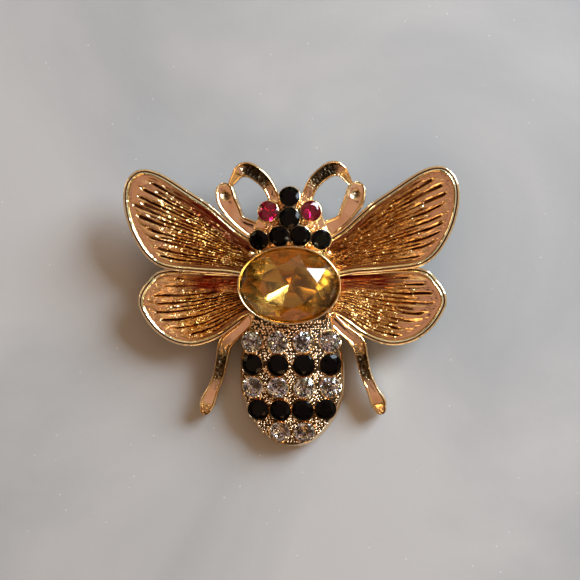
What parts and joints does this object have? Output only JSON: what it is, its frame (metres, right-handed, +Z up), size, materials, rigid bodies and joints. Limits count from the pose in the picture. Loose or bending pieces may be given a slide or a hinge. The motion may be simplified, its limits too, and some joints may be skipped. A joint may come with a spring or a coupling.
{
  "type": "bee brooch",
  "caption": "Bee-shaped brooch with veined gold wings, an oval amber stone and rows of round stones, fastened to cloth by a pin bar on its back.",
  "frame": {"origin": "on the surface that the brooch lies on, under the middle of its outer box", "axes": "+X across the wings to the right as seen from the front, +Y towards the antennae, +Z up out of the front; the brooch lies tipped tail down on its tail and its pin"},
  "size_m": [0.0454, 0.0382, 0.0114],
  "materials": {
    "gold_plate": "gold plated alloy, polished rims, with a clear amber lacquer in the wings",
    "amber_glass": "faceted foil backed amber glass",
    "clear_glass": "faceted foil backed clear glass",
    "black_glass": "faceted opaque black glass",
    "red_glass": "faceted foil backed red glass",
    "pin_steel": "gold plated steel, smooth"
  },
  "bodies": {
    "root": {"casting": "gold_plate", "oval_stone": "amber_glass", "pin_back": "pin_steel", "clear_stone_1_1": "clear_glass", "clear_stone_1_2": "clear_glass", "clear_stone_1_3": "clear_glass", "clear_stone_1_4": "clear_glass", "black_stone_2_1": "black_glass", "black_stone_2_2": "black_glass", "black_stone_2_3": "black_glass", "black_stone_2_4": "black_glass", "clear_stone_3_1": "clear_glass", "clear_stone_3_2": "clear_glass", "clear_stone_3_3": "clear_glass", "clear_stone_3_4": "clear_glass", "black_stone_4_1": "black_glass", "black_stone_4_2": "black_glass", "black_stone_4_3": "black_glass", "black_stone_4_4": "black_glass", "clear_stone_5_1": "clear_glass", "clear_stone_5_2": "clear_glass", "head_stone_lower_1": "black_glass", "head_stone_lower_2": "black_glass", "head_stone_lower_3": "black_glass", "head_stone_lower_4": "black_glass", "head_stone_middle": "black_glass", "head_stone_top": "black_glass", "eye_stone_left": "red_glass", "eye_stone_right": "red_glass"}
  },
  "joints": []
}
